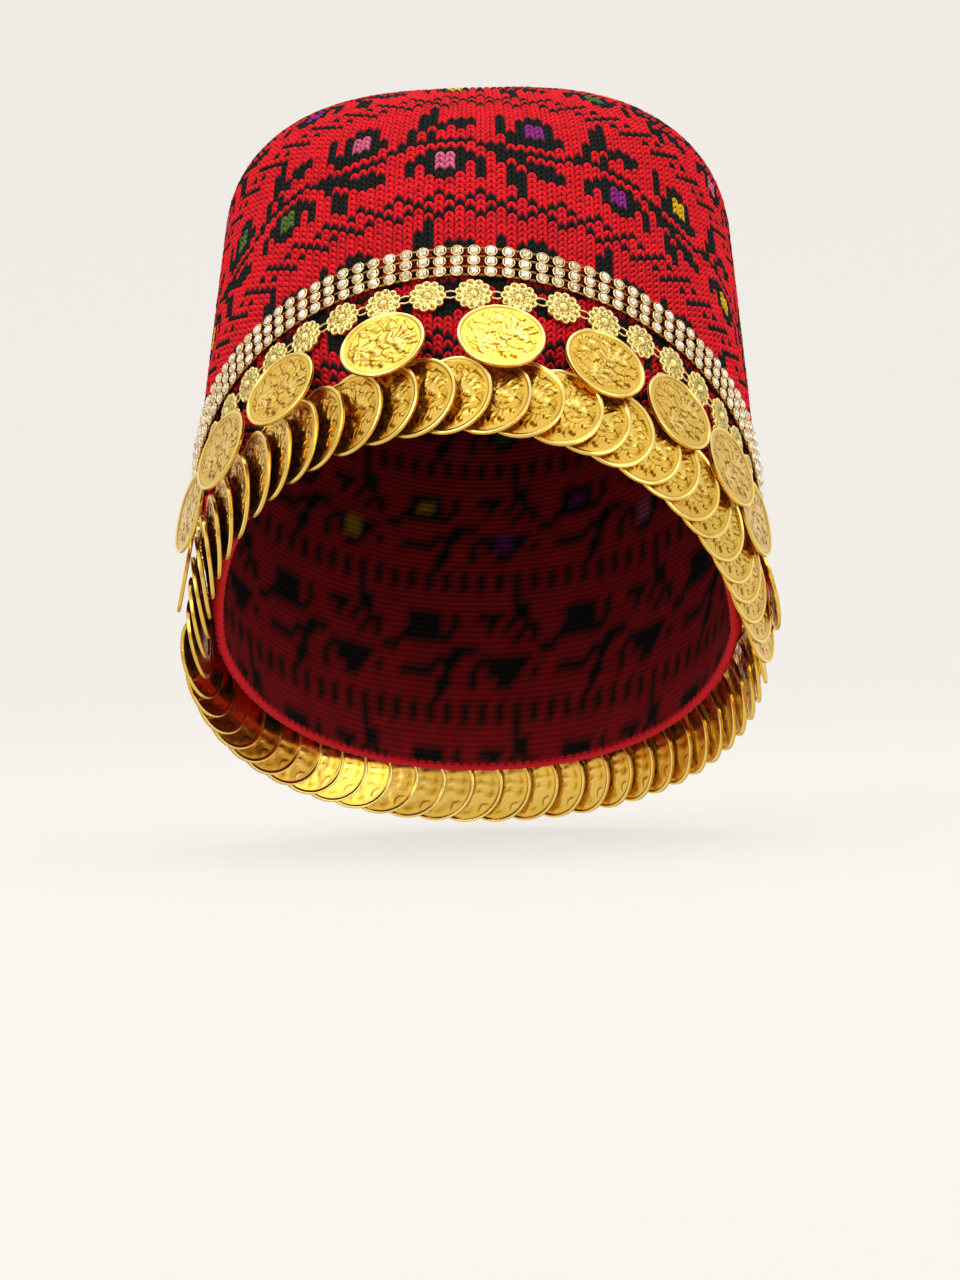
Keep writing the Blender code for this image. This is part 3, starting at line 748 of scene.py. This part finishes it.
def coin_template(cells, back_cells):
    """A coin's points, relief values, places on its face (in radii, with 1 where folds are cut) and
    faces:
    a struck front and a struck back. The rim stands proud of the field, with a groove inside it. The
    relief values are painted highlight on the raised relief and the rim and painted shade in the groove
    and along the slopes of the relief."""
    points = []
    relief = []
    face = []
    faces = []
    start = 0
    for number, facing, struck in ((cells, 1.0, sprig_relief), (back_cells, -1.0, plain_relief)):
        x, y, quads, _border = disc_grid(number)
        radius = np.hypot(x, y)
        inside = radius < COIN_FIELD
        carved = np.where(inside, struck(x, y), 0.0)
        near = 0.03
        across = struck(x + near, y) - struck(x - near, y)
        upward = struck(x, y + near) - struck(x, y - near)
        outline = np.where(inside, np.clip(1.2 * np.hypot(across, upward) - 0.25, 0.0, 1.0), 0.0)
        rim = np.clip((radius - COIN_RIM) / 0.02, 0.0, 1.0) * np.clip((1.012 - radius) / 0.03, 0.35, 1.0)
        groove = np.clip(1.0 - np.abs(radius - COIN_GROOVE) / 0.02, 0.0, 1.0)
        level = np.maximum(0.34 * carved, 0.36 * rim) - 0.06 * groove
        z = facing * (0.5 * COIN_THICKNESS + (level - 0.24) * MM)
        points.append(np.stack((facing * x * COIN_RADIUS, y * COIN_RADIUS, z), axis=-1))
        # Painted highlight on the raised relief and the rim, painted shade in the groove and along the
        # relief's slopes
        relief.append(np.clip(0.42 + 0.45 * carved + 0.5 * rim - 0.6 * groove - 0.75 * outline, 0.0, 1.0))
        folded = np.clip((COIN_FIELD - 0.02 - radius) / 0.03, 0.0, 1.0) * (facing > 0.0)
        face.append(np.stack((x, y, folded), axis=-1))
        faces.append(quads + start)
        start += len(x)
    return np.concatenate(points), np.concatenate(relief), np.concatenate(face), np.concatenate(faces)


def edge_ring(cells):
    """The reeded edge of a coin as rings of points that run round with the front's border."""
    count = 4 * cells
    angle = -0.75 * math.pi + np.arange(count) * 2.0 * math.pi / count
    reed = np.where(np.arange(count) % 2 == 0, 1.0, 0.984)
    rings = []
    for level, reach in ((0.5, 0.990), (0.34, 1.0), (-0.34, 1.0), (-0.5, 0.990)):
        radius = COIN_RADIUS * reach * (reed if reach == 1.0 else 1.0)
        rings.append(ring_points(radius, angle, level * COIN_THICKNESS))
    return np.concatenate(rings), grid_faces(len(rings), count)[:, ::-1]


def coin_mesh(frames, spins, cells, back_cells):
    """Points, faces, relief and face places of coins in their frames, each spun about its own axis."""
    points, relief, face, faces = coin_template(cells, back_cells)
    edge, edge_faces = edge_ring(cells)
    faces = np.concatenate((faces, edge_faces + len(points)))
    points = np.concatenate((points, edge))
    relief = np.concatenate((relief, np.full(len(edge), 0.35)))
    face = np.concatenate((face, np.zeros_like(edge)))
    count = len(spins)
    faces = repeated(faces, len(points), count)
    points = placed(spun(points, spins), frames).reshape(-1, 3)
    return points, faces, np.tile(relief, count), np.tile(face, (count, 1))


def hanging_frame(normal, right):
    """Right, up and out directions of a coin on a wall with this normal and direction to the right. It
    lies along the wall where the wall faces up, and hangs plumb where it doesn't."""
    hang = unit(DOWN + normal * max(normal[2], 0.0))
    coin_right = unit(right - np.dot(right, hang) * hang)
    return coin_right, -hang, np.cross(coin_right, -hang)


def turned(first, second, angle):
    """Two unit vectors at right angles turned in their own plane, the first towards the second."""
    cosine, sine = math.cos(angle), math.sin(angle)
    return cosine * first + sine * second, cosine * second - sine * first


def fringe_frames():
    """Frames of the fringe coins, worked out as in the part's source: each hangs from its top, and is
    turned about the direction up the wall so that its left edge slips under its left neighbour."""
    turns = even_turns(FRINGE_TOP, FRINGE_COUNT)
    middle = len(FRINGE_SHIFTS) // 2
    for place, shift in enumerate(FRINGE_SHIFTS):
        turns[(place - middle) % FRINGE_COUNT] += shift * 2.0 * math.pi / FRINGE_COUNT
    flat = []
    walls = []
    for turn in turns:
        point, wall_right, wall_up, normal = wall_frame(turn, FRINGE_TOP)
        _right, up, out = hanging_frame(normal, wall_right)
        up, out = turned(up, out, math.radians(FRINGE_STEEPER) * max(normal[2], 0.0))
        ridge = unit(wall_up - np.dot(wall_up, out) * out)
        flat.append((point - COIN_RADIUS * up, np.cross(ridge, out), ridge, out))
        walls.append((normal, max(np.dot(up, normal), 0.0)))
    angles = []
    for index, (centre, side, _ridge, out) in enumerate(flat):
        next_centre, _side, _ridge, next_out = flat[(index + 1) % len(flat)]
        step = next_centre - centre
        lift = COIN_RADIUS * np.dot(next_out, side) + np.dot(step, out)
        angles.append(math.atan((COIN_THICKNESS + FRINGE_GAP + lift) / np.dot(step, side)))
    angles = 0.25 * np.roll(angles, 1) + 0.5 * np.array(angles) + 0.25 * np.roll(angles, -1)
    frames = []
    for (centre, side, ridge, out), (normal, steep), angle in zip(flat, walls, angles):
        stand = SEAM_GAP + 0.5 * COIN_THICKNESS + COIN_RADIUS * (FRINGE_TUCK * math.sin(angle) + steep)
        side, out = turned(side, out, angle)
        frames.append((centre + stand * normal, side, ridge, out))
    return frames


def lift_off(own, fringe, direction):
    """Distance that a coin moves in a direction so that it just clears the fringe coins."""
    angle = np.arange(RIM_POINTS) * 2.0 * math.pi / RIM_POINTS
    rim = COIN_RADIUS * np.stack((np.sin(angle), np.cos(angle)), axis=-1)
    lift = 0.0
    for other in fringe:
        for below, above in ((other, own), (own, other)):
            facing = 1.0 if above is own else -1.0
            centre, right, up, out = below
            corners = centre + rim[:, :1] * right + rim[:, 1:] * up + 0.5 * facing * COIN_THICKNESS * out
            centre, right, up, out = above
            away = corners - centre
            depth = facing * (away @ out) + 0.5 * COIN_THICKNESS + SEAM_GAP
            inside = np.hypot(away @ right, away @ up) < COIN_RADIUS + SEAM_GAP
            lift = max(lift, (inside * depth).max() / np.dot(direction, out))
    return lift


def row_frames(fringe):
    """Frames of the spaced coins, each kicked out at its lower edge to ride on the fringe."""
    pitch = 2.0 * math.pi / ROW_COUNT
    frames = []
    for turn, shift in zip(even_turns(ROW_HEIGHT, ROW_COUNT, ROW_FIRST), ROW_SHIFTS):
        turn = turn + shift * pitch
        point, wall_right, _up, normal = wall_frame(turn, ROW_HEIGHT)
        right, up, out = hanging_frame(normal, wall_right)
        kick = math.radians(ROW_KICK_FRONT + (ROW_KICK_SIDE - ROW_KICK_FRONT) * abs(math.sin(turn)))
        up, out = turned(up, out, -kick)
        lean_in = max(-np.dot(up, normal), 0.0)
        centre = point + (SEAM_GAP + 0.5 * COIN_THICKNESS + COIN_RADIUS * lean_in) * normal
        centre = centre + lift_off((centre, right, up, out), fringe, normal) * normal
        frames.append((centre, right, up, out))
    return frames


def frame_arrays(frames):
    """Centres, rights, ups and outs of several frames as four arrays."""
    return tuple(np.array([frame_parts[part] for frame_parts in frames]) for part in range(4))


def make_fringe(fringe, gold):
    """The fringe coins, finer in front, and the wire that carries them."""
    numbers = np.arange(FRINGE_COUNT)
    front = (numbers <= FRINGE_SHOWN) | (numbers >= FRINGE_COUNT - FRINGE_SHOWN)
    spins = random.normal(0.0, 0.09, FRINGE_COUNT)
    groups = (("fringe_coins_front", front, 44, 20), ("fringe_coins_back", ~front, 26, 26))
    for name, chosen, cells, back_cells in groups:
        frames = tuple(part[chosen] for part in frame_arrays(fringe))
        points, faces, relief, face = coin_mesh(frames, spins[chosen], cells, back_cells)
        make_piece(name, points, [faces], gold, FRINGE, relief=relief, face=face)
    centre, _side, ridge, out = frame_arrays(fringe)
    path = centre + (COIN_RADIUS - FRINGE_WIRE) * ridge
    loop = np.concatenate((path, path[:1]))[None]
    ways = [np.concatenate((way, way[:1]))[None] for way in (ridge, out)]
    points, faces = tubes(loop, *ways, 0.35 * MM)
    bright = np.full(len(points), 0.5)
    make_piece("fringe_wire", points, [faces], gold, FRINGE, relief=bright, face=np.zeros_like(points))


def make_row_coins(fringe, gold):
    """The spaced coins, each with the wire loop that sews it on showing above its edge."""
    angle = np.linspace(0.0, math.pi, 9)
    for number, own in enumerate(row_frames(fringe), start=1):
        centre, right, up, out = own
        cells = 48 if out[1] < 0.25 else 26
        spin = random.normal(0.0, 0.10, 1)
        points, faces, relief, face = coin_mesh(frame_arrays([own]), spin, cells, 24)
        start = centre + (COIN_RADIUS - 0.6 * MM) * up - 0.5 * COIN_THICKNESS * out
        arch = start + 2.3 * MM * np.cos(angle)[:, None] * right + 1.3 * MM * np.sin(angle)[:, None] * up
        ways = [np.tile(way, (1, len(angle), 1)) for way in (up, out)]
        loop_points, loop_faces = tubes(arch[None], *ways, 0.32 * MM, 5)
        points, faces = join_parts(((points, faces), (loop_points, loop_faces)))
        make_piece(
            f"row_coin_{number:02d}", points, [faces], gold, ((f"coin_{number:02d}",), "gold_plate"),
            relief=np.concatenate((relief, np.full(len(loop_points), 0.8))),
            face=np.concatenate((face, np.zeros_like(loop_points))),
        )


# Rosettes and rhinestones

def flower_frames():
    """Frames of the rosettes, flat on the wall's own curve."""
    turns = even_turns(FLOWER_HEIGHT, FLOWER_COUNT, FLOWER_FIRST)
    point, right, up, out = wall_frame(turns, np.full(FLOWER_COUNT, FLOWER_HEIGHT))
    radius = 0.5 * FLOWER_DIAMETER
    back = SEAM_GAP + radius ** 2 / (2.0 * CAP_HALF_WIDTH ** 2 / CAP_FRONT_DEPTH)
    return point + (back + 0.5 * FLOWER_THICKNESS) * out, right, up, out


def rosette_template(cells=32):
    """A cast rosette: looped petals round the edge, a ring of round ones inside them, and a domed heart
    in a collar. Each point is folded into one petal, so that a petal is a ring of wire round a hollow
    and the outline is the petals' own arcs. Gives points, faces and relief values for the finish, which
    are painted highlight on the raised loops and heart and painted shade in the hollows and on the skirt."""
    x, y, quads, border = disc_grid(cells, 3, 0.90)
    radius, angle = np.hypot(x, y), np.arctan2(y, x)
    petal_at, petal_reach = 0.76, 0.24
    petal = 2.0 * math.pi / ROSETTE_PETALS
    fold = (angle + 0.5 * petal) % petal - 0.5 * petal
    outline = petal_at * np.cos(fold) + np.sqrt(petal_reach ** 2 - (petal_at * np.sin(fold)) ** 2)
    spot = radius * outline
    away = np.hypot(spot * np.cos(fold) - petal_at, spot * np.sin(fold))
    loop = np.exp(-((away - 0.185) / 0.05) ** 2) * (spot > 0.55)
    inner_fold = angle % (2.0 * math.pi / 8.0) - math.pi / 8.0
    inner_away = np.hypot(spot * np.cos(inner_fold) - 0.46, spot * np.sin(inner_fold))
    inner_loop = np.exp(-((inner_away - 0.125) / 0.045) ** 2) * (spot > 0.33) * (spot < 0.60)
    heart = np.clip(1.0 - (spot / 0.25) ** 2, 0.0, 1.0) ** 0.5
    pip = np.clip(1.0 - (spot / 0.09) ** 2, 0.0, 1.0) ** 0.5
    raised = np.maximum.reduce((0.95 * loop, 0.90 * inner_loop, 0.85 * heart))
    relief = np.clip(raised + 0.3 * pip, 0.0, 1.2)
    slope = 0.85 * np.clip(1.0 - spot, 0.0, 1.0)
    z = 0.5 * FLOWER_THICKNESS + (0.62 * relief - 0.60 + slope + 0.30 * heart) * MM
    reach = 0.5 * FLOWER_DIAMETER * outline
    front = np.stack((x * reach, y * reach, z), axis=-1)
    rim = front[border] * np.array((1.0, 1.0, 0.0)) - np.array((0.0, 0.0, 0.5 * FLOWER_THICKNESS))
    count = len(border)
    side = np.arange(count)
    beside = (side + 1) % count
    skirt = np.stack((border[side], len(front) + side, len(front) + beside, border[beside]), axis=-1)
    points = np.concatenate((front, rim))
    # Painted highlight on the raised loops and heart, painted shade in the hollows and on the skirt
    relief = np.concatenate((0.05 + 0.85 * relief, np.full(count, 0.1)))
    return points, np.concatenate((quads, skirt)), relief


def make_rosettes(frames, pale_gilt):
    """The rosettes of the flower chain, each turned its own way."""
    points, faces, relief = rosette_template()
    spins = random.uniform(0.0, 2.0 * math.pi / ROSETTE_PETALS, FLOWER_COUNT)
    faces = repeated(faces, len(points), FLOWER_COUNT)
    points = placed(spun(points, spins), frames).reshape(-1, 3)
    make_piece("rosettes", points, [faces], pale_gilt, FLOWERS, relief=np.tile(relief, FLOWER_COUNT))


def make_rosette_links(frames, rose_gilt):
    """A pair of thin links, bowed apart, from each rosette to the next."""
    centre, right, up, out = frames
    next_centre, next_right, next_up = (np.roll(part, -1, axis=0) for part in (centre, right, up))
    reach = 0.47 * FLOWER_DIAMETER
    share = np.linspace(0.0, 1.0, 7)[None, :, None]
    paths = []
    for side in (-1.0, 1.0):
        start = centre + reach * right + 0.5 * side * LINK_SPREAD * up
        end = next_centre - reach * next_right + 0.5 * side * LINK_SPREAD * next_up
        bow = 0.35 * MM * side * np.sin(math.pi * share) * up[:, None]
        paths.append(start[:, None] * (1.0 - share) + end[:, None] * share + bow)
    paths = np.concatenate(paths)
    ways = [np.repeat(np.tile(way, (2, 1))[:, None], paths.shape[1], axis=1) for way in (up, out)]
    points, faces = tubes(paths, *ways, 0.33 * MM)
    make_piece("rosette_links", points, [faces], rose_gilt, FLOWERS, relief=np.full(len(points), 0.6))


def stone_columns():
    """Points on the wall under the columns of stones, with their right, up and out directions."""
    count = round(float(ring_lengths(BAND_HEIGHT)[1][-1]) / STONE_COLUMN_PITCH)
    point, right, up, out = wall_frame(even_turns(BAND_HEIGHT, count), np.full(count, BAND_HEIGHT))
    return point + SEAM_GAP * out, right, up, out


def stone_frames(columns):
    """Frames of the stones, one above the other in each column, each tipped a little in its setting."""
    point, _right, column_up, _out = columns
    levels = (np.arange(BAND_ROWS) - 0.5 * (BAND_ROWS - 1)) * BAND_ROW_PITCH
    centre = (point[:, None] + levels[None, :, None] * column_up[:, None]).reshape(-1, 3)
    right, up, out = (np.repeat(way, BAND_ROWS, axis=0) for way in columns[1:])
    tip = random.normal(0.0, 0.05, (2, len(centre), 1))
    return centre, right, up, unit(out + tip[0] * right + tip[1] * up)


def stone_links(columns):
    """Points and faces of the short thick links between neighbouring columns."""
    point, _right, up, out = columns
    beside, beside_up, beside_out = (np.roll(part, -1, axis=0) for part in (point, up, out))
    reach = np.linspace(0.30, 0.70, 3)[None, :, None]
    paths = []
    for level in (-1.28, -0.5, 0.5, 1.28):
        start = point + level * BAND_ROW_PITCH * up + 1.3 * MM * out
        end = beside + level * BAND_ROW_PITCH * beside_up + 1.3 * MM * beside_out
        paths.append(start[:, None] * (1.0 - reach) + end[:, None] * reach)
    ways = [np.repeat(np.tile(way, (len(paths), 1))[:, None], 3, axis=1) for way in (up, out)]
    return tubes(np.concatenate(paths), *ways, 0.48 * MM, 5)


def make_stone_cups(frames, links, rose_gilt):
    """Claw cups, as rings from the foot up over the lip to the claws inside it, and the links. The
    rings are (radius in half stones, level in mm, painted shade), with painted shade at the foot and
    under the claws and a painted highlight on the lip. The links take the darkest value."""
    sides = 12
    angle = np.linspace(0.0, 2.0 * math.pi, sides, endpoint=False)
    claw = np.where(np.arange(sides) % 3 == 0, 1.0, 0.0)
    rings = (
        (0.74, 0.15, 0.0), (1.07, 1.45, 0.1), (1.09, 2.05, 0.5), (0.96, 2.24, 0.9),
        (0.88 - 0.10 * claw, 1.90 + 0.55 * claw, 0.1),
    )
    cup = np.concatenate([
        ring_points(0.5 * BAND_STONE * radius, angle, level * MM) for radius, level, _cup_shade in rings
    ])
    # Painted shade at the foot and under the claws, painted highlight on the lip
    cup_shade = np.repeat([bright for _radius, _level, bright in rings], sides)
    count = len(frames[0])
    points = placed(np.broadcast_to(cup, (count, *cup.shape)), frames).reshape(-1, 3)
    cups = (points, repeated(grid_faces(len(rings), sides), len(cup), count))
    relief = np.concatenate((np.tile(cup_shade, count), np.full(len(links[0]), 0.05)))
    points, faces = join_parts((cups, links))
    make_piece("stone_cups", points, [faces], rose_gilt, STONES, relief=relief)


def make_stones(frames, stone):
    """Round stones with a low table, eight star facets and eight sides, shaded facet by facet, with a
    painted glint at each point and for each stone. The rings are (radius in half stones, level in mm,
    twist)."""
    sides = 8
    angle = np.arange(sides) * 2.0 * math.pi / sides
    rings = ((0.46, 2.74, 0.0), (0.68, 2.50, math.pi / sides), (0.84, 1.90, 0.0))
    gem = [np.array(((0.0, 0.0, 2.72 * MM),))]
    for radius, level, twist in rings:
        gem.append(ring_points(0.5 * BAND_STONE * radius, angle + twist, level * MM))
    gem = np.concatenate(gem)
    facets = []
    for side in range(sides):
        beside = (side + 1) % sides
        inner, middle, outer = (1 + ring * sides + side for ring in range(3))
        next_inner, next_middle, next_outer = (1 + ring * sides + beside for ring in range(3))
        facets.append((0, inner, next_inner))
        facets.append((inner, middle, next_inner))
        facets.append((next_inner, middle, next_middle))
        facets.append((middle, outer, next_outer))
        facets.append((middle, next_outer, next_middle))
    count = len(frames[0])
    points = placed(np.broadcast_to(gem, (count, *gem.shape)), frames).reshape(-1, 3)
    # Painted glints: a random brightness at each point and for each stone
    painted_glint = random.uniform(0.0, 0.5, (count, len(gem))) + random.uniform(0.0, 0.3, (count, 1))
    faces = repeated(facets, len(gem), count)
    make_piece("stones", points, [faces], stone, STONES, smooth=False, relief=painted_glint.ravel())


# Studio

def backdrop_material():
    """Matte cream paper with a barely visible tooth."""
    mat, tree, shader, place = new_material("cream_paper", Roughness=0.95, Emission_Strength=0.74)
    tooth = noise(tree, place, 2.0)
    colour = add_ramp(tree, tooth, ((0.0, "#686562"), (1.0, "#6C6966")))
    glow = add_ramp(tree, tooth, ((0.0, "#FAF6F0"), (1.0, "#FDFAF5")))
    tree.links.new(colour, shader.inputs["Base Color"])
    tree.links.new(glow, shader.inputs["Emission Color"])
    return mat


def make_backdrop(low):
    """A sweep of paper: a floor under the headdress that bends up far behind it."""
    front, bend, depth, width, rise = 9.0, 0.9, 1.2, 9.0, 2.6
    angle = np.linspace(0.0, 0.5 * math.pi, 24)
    y = np.concatenate(([-front], depth + bend * np.sin(angle), [depth + bend]))
    z = np.concatenate(([0.0], bend * (1.0 - np.cos(angle)), [rise])) + low
    left = np.stack((np.full(len(y), -width), y, z), axis=-1)
    right = left * np.array((-1.0, 1.0, 1.0))
    mesh = bpy.data.meshes.new("paper_sweep")
    count = len(y)
    faces = [(row, count + row, count + row + 1, row + 1) for row in range(count - 1)]
    mesh.from_pydata(np.concatenate((left, right)).tolist(), [], faces)
    mesh.materials.append(backdrop_material())
    mesh.shade_smooth()
    sweep = bpy.data.objects.new("paper_sweep", mesh)
    bpy.context.scene.collection.objects.link(sweep)


def looking(place, back):
    """Pose of a lamp at a place whose back points along a unit vector."""
    side = unit(np.cross((0.0, 0.0, 1.0), back))
    pose = np.eye(4)
    pose[:3, 0], pose[:3, 1], pose[:3, 2], pose[:3, 3] = side, np.cross(back, side), back, place
    return Matrix(pose.tolist())


def add_light(name, place, target, size, power, colour):
    """A soft square light that looks at a target."""
    data = bpy.data.lights.new(name, "AREA")
    data.shape = "RECTANGLE"
    data.size, data.size_y = size
    data.energy = power
    data.color = linear(colour)
    lamp = bpy.data.objects.new(name, data)
    lamp.matrix_world = looking(np.array(place), unit(np.array(place) - np.array(target)))
    bpy.context.scene.collection.objects.link(lamp)


def make_lights():
    """A large soft key from the upper left, a fill from the right, a broad light from above and air that
    is warm below and white above. The camera sees the air as cream."""
    add_light("key_soft", (-0.75, -1.25, 0.95), (0.0, 0.0, 0.02), (0.9, 0.9), 8.5, "#FFF8EE")
    add_light("fill_soft", (1.15, -0.95, 0.35), (0.0, 0.0, 0.02), (0.8, 1.0), 4.5, "#FFFDF8")
    add_light("top_soft", (0.05, 0.10, 1.25), (0.0, 0.0, 0.0), (1.1, 0.9), 5.0, "#FFFFFF")
    world = bpy.data.worlds.new("studio_air")
    world.use_nodes = True
    tree = world.node_tree
    sky = tree.nodes["Background"]
    ray = add_node(tree, "ShaderNodeTexCoord").outputs["Generated"]
    level = add_node(tree, "ShaderNodeSeparateXYZ", links={"Vector": ray}).outputs["Z"]
    share = add_node(tree, "ShaderNodeMapRange", {"From Min": -1.0, "From Max": 1.0}, {"Value": level})
    air = ((0.0, "#E8C894"), (0.45, "#BCA684"), (0.80, "#FFFBF2"))
    colour = add_ramp(tree, share.outputs["Result"], air)
    seen = add_node(tree, "ShaderNodeLightPath").outputs["Is Camera Ray"]
    cream = {"Color2": (*linear("#F4F0EA"), 1.0)}
    mixed = add_node(tree, "ShaderNodeMixRGB", cream, {"Fac": seen, "Color1": colour})
    tree.links.new(mixed.outputs["Color"], sky.inputs["Color"])
    sky.inputs["Strength"].default_value = 0.95
    bpy.context.scene.world = world


def make_camera():
    """The photograph's camera: level, a little turned and rolled against the headdress."""
    yaw, roll = math.radians(CAMERA_YAW), math.radians(CAMERA_ROLL)
    right = np.array((math.cos(yaw) * math.cos(roll), -math.sin(yaw) * math.cos(roll), -math.sin(roll)))
    ahead = np.array((math.sin(yaw), math.cos(yaw), 0.0))
    above = np.array((math.cos(yaw) * math.sin(roll), -math.sin(yaw) * math.sin(roll), math.cos(roll)))
    pose = np.eye(4)
    pose[:3, 0], pose[:3, 1], pose[:3, 2] = right, above, -ahead
    pose[:3, 3] = CAMERA_RIGHT * right - CAMERA_DISTANCE * ahead + CAMERA_ABOVE * above
    data = bpy.data.cameras.new("photo_camera")
    data.sensor_width = SENSOR
    data.lens = CAMERA_LENS
    camera = bpy.data.objects.new("photo_camera", data)
    camera.matrix_world = Matrix(pose.tolist())
    bpy.context.scene.collection.objects.link(camera)
    bpy.context.scene.camera = camera


def main():
    make_camera()
    wool = wool_material()
    gold = gold_material("polished_gold", "#82500E", "#EABC46", "#FAE48E", 0.17, struck=True)
    pale_gilt = gold_material("pale_gilt_cast", "#6A4E12", "#DDBE5C", "#FBF0B0", 0.24)
    rose_gilt = gold_material("rose_gilt_wire", "#6A4418", "#CB9C50", "#F8DFA4", 0.22)
    make_knit(wool)
    make_shells(wool)
    make_rim(wool)
    fringe = fringe_frames()
    make_fringe(fringe, gold)
    make_row_coins(fringe, gold)
    flowers = flower_frames()
    make_rosettes(flowers, pale_gilt)
    make_rosette_links(flowers, rose_gilt)
    columns = stone_columns()
    stones = stone_frames(columns)
    make_stone_cups(stones, stone_links(columns), rose_gilt)
    make_stones(stones, stone_material())
    make_lights()
    make_backdrop(CAD_BOX[0][2] - 0.002)
    bpy.context.scene.view_settings.view_transform = "Standard"


main()
